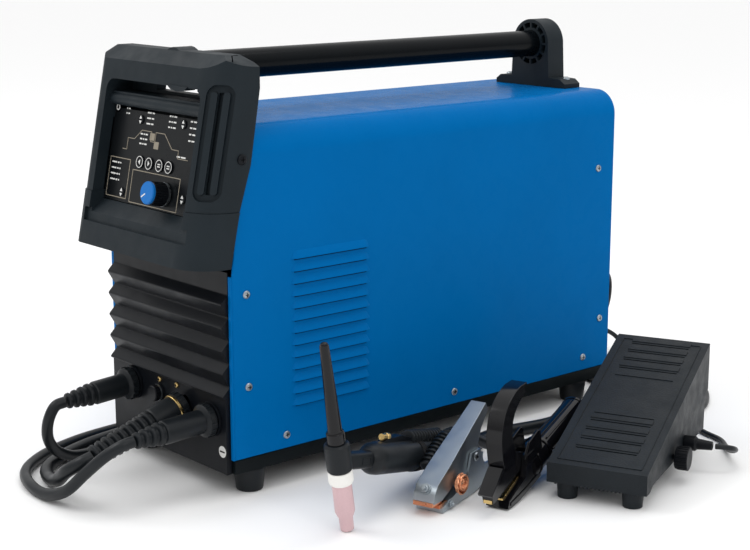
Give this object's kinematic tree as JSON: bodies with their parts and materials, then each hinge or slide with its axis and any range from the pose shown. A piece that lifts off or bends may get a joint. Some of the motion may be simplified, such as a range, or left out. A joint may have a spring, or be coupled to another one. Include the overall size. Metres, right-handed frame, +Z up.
{
  "type": "tig welding machine",
  "caption": "Portable inverter TIG welder with sloping control bezel, top handle, torch, earth clamp, electrode holder, foot pedal and leads.",
  "frame": {"origin": "middle of the underside of the object without its leads, on the floor", "axes": "+Z up, the machine's front faces -Y and its right side faces +X"},
  "size_m": [0.73, 0.8883, 0.4545],
  "materials": {
    "cover_blue": "gloss powder coat",
    "black_steel": "satin paint",
    "bezel_charcoal": "moulded, fine grain",
    "panel_black": "printed film",
    "black_plastic": "moulded",
    "rubber": "matt",
    "knob_blue": "satin",
    "zinc": "zinc plated",
    "brass": "machined",
    "aluminium": "extruded",
    "board_green": "lacquered",
    "winding": "varnished",
    "ceramic_pink": "glazed ceramic",
    "insulator_white": "moulded",
    "gloss_black": "polished",
    "rocker_red": "gloss"
  },
  "bodies": {
    "root": {"top_cover": "cover_blue", "base_tray": "black_steel", "handle_tube": "black_steel", "rear_panel": "black_steel", "foot_front_right": "rubber", "foot_front_left": "rubber", "foot_rear_right": "rubber", "foot_rear_left": "rubber", "earth_plug": "rubber", "electrode_plug": "rubber", "torch_plug": "rubber", "torch_body": "rubber", "front_panel": "black_plastic", "handle_bracket_rear": "black_plastic", "fan_frame": "black_plastic", "mains_gland": "black_plastic", "earth_socket": "black_plastic", "electrode_socket": "black_plastic", "pedal_base": "black_plastic", "pedal_gland": "black_plastic", "pedal_plug": "black_plastic", "back_cap": "gloss_black", "holder_body": "gloss_black", "bezel_upper": "bezel_charcoal", "bezel_lower": "bezel_charcoal", "control_panel": "panel_black", "clamp_lower": "zinc", "gas_inlet": "brass", "gas_valve": "brass", "heatsink": "aluminium", "main_board": "board_green", "transformer": "winding", "gas_nozzle": "ceramic_pink", "insulator_ring": "insulator_white", "earth_lead": "rubber", "torch_lead_front": "rubber", "torch_lead_coil": "rubber", "torch_lead_rear": "rubber", "electrode_lead_front": "rubber", "electrode_lead_coil": "rubber", "electrode_lead_rear": "rubber", "pedal_lead_machine": "rubber", "pedal_lead_coil": "rubber", "pedal_lead_pedal": "rubber"},
    "button_left": {"button_left": "black_plastic"},
    "button_right": {"button_right": "black_plastic"},
    "button_mode": {"button_mode": "black_plastic"},
    "button_save": {"button_save": "black_plastic"},
    "select_process": {"select_process": "black_plastic"},
    "select_output": {"select_output": "black_plastic"},
    "select_trigger": {"select_trigger": "black_plastic"},
    "select_spot": {"select_spot": "black_plastic"},
    "encoder_knob": {"encoder_knob": "knob_blue"},
    "mains_rocker": {"mains_rocker": "rocker_red"},
    "fan_rotor": {"fan_rotor": "black_plastic"},
    "torch_trigger": {"torch_trigger": "black_plastic"},
    "clamp_upper": {"clamp_upper": "zinc"},
    "holder_lever": {"holder_lever": "gloss_black"},
    "pedal_treadle": {"pedal_treadle": "black_plastic"},
    "pedal_knob": {"pedal_knob": "black_plastic"}
  },
  "joints": [
    {"name": "button_left_press", "type": "slide", "parent": "root", "child": "button_left", "axis": [0, 0.98, -0.1989], "range_m": [0, 0.0012], "stiffness_N_per_m": 300},
    {"name": "button_right_press", "type": "slide", "parent": "root", "child": "button_right", "axis": [0, 0.98, -0.1989], "range_m": [0, 0.0012], "stiffness_N_per_m": 300},
    {"name": "button_mode_press", "type": "slide", "parent": "root", "child": "button_mode", "axis": [0, 0.98, -0.1989], "range_m": [0, 0.0012], "stiffness_N_per_m": 300},
    {"name": "button_save_press", "type": "slide", "parent": "root", "child": "button_save", "axis": [0, 0.98, -0.1989], "range_m": [0, 0.0012], "stiffness_N_per_m": 300},
    {"name": "select_process_press", "type": "slide", "parent": "root", "child": "select_process", "axis": [0, 0.98, -0.1989], "range_m": [0, 0.0008], "stiffness_N_per_m": 300},
    {"name": "select_output_press", "type": "slide", "parent": "root", "child": "select_output", "axis": [0, 0.98, -0.1989], "range_m": [0, 0.0008], "stiffness_N_per_m": 300},
    {"name": "select_trigger_press", "type": "slide", "parent": "root", "child": "select_trigger", "axis": [0, 0.98, -0.1989], "range_m": [0, 0.0008], "stiffness_N_per_m": 300},
    {"name": "select_spot_press", "type": "slide", "parent": "root", "child": "select_spot", "axis": [0, 0.98, -0.1989], "range_m": [0, 0.0008], "stiffness_N_per_m": 300},
    {"name": "knob_turn", "type": "hinge", "parent": "root", "child": "encoder_knob", "pos_m": [-0.12448, -0.28471, 0.301], "axis": [0, -0.98, 0.1989], "continuous": true},
    {"name": "mains_rocker_tip", "type": "hinge", "parent": "root", "child": "mains_rocker", "pos_m": [-0.06598, 0.2845, 0.32], "axis": [1, 0, 0], "range_deg": [0, 12]},
    {"name": "fan_spin", "type": "hinge", "parent": "root", "child": "fan_rotor", "pos_m": [-0.16898, 0.2687, 0.235], "axis": [0, 1, 0], "continuous": true},
    {"name": "torch_trigger_press", "type": "slide", "parent": "root", "child": "torch_trigger", "axis": [0.0688, -0.2224, -0.9725], "range_m": [0, 0.002], "stiffness_N_per_m": 400},
    {"name": "clamp_jaw_open", "type": "hinge", "parent": "root", "child": "clamp_upper", "pos_m": [0.09674, -0.07572, 0.038], "axis": [-0.9553, -0.2955, 0], "range_deg": [0, 14], "stiffness_Nm_per_rad": 4, "springref_deg": -17.19},
    {"name": "holder_lever_squeeze", "type": "hinge", "parent": "root", "child": "holder_lever", "pos_m": [0.14019, -0.04165, 0.037], "axis": [-0.9394, -0.3429, 0], "range_deg": [0, 12], "stiffness_Nm_per_rad": 3, "springref_deg": -17.19},
    {"name": "pedal_press", "type": "hinge", "parent": "root", "child": "pedal_treadle", "pos_m": [0.16498, -0.02493, 0.03], "axis": [-0.9131, -0.4078, 0], "range_deg": [0, 4], "stiffness_Nm_per_rad": 20, "springref_deg": -5.73},
    {"name": "pedal_knob_turn", "type": "hinge", "parent": "root", "child": "pedal_knob", "pos_m": [0.12339, 0.0682, 0.025], "axis": [0.9131, 0.4078, 0], "range_deg": [-135, 135]}
  ]
}
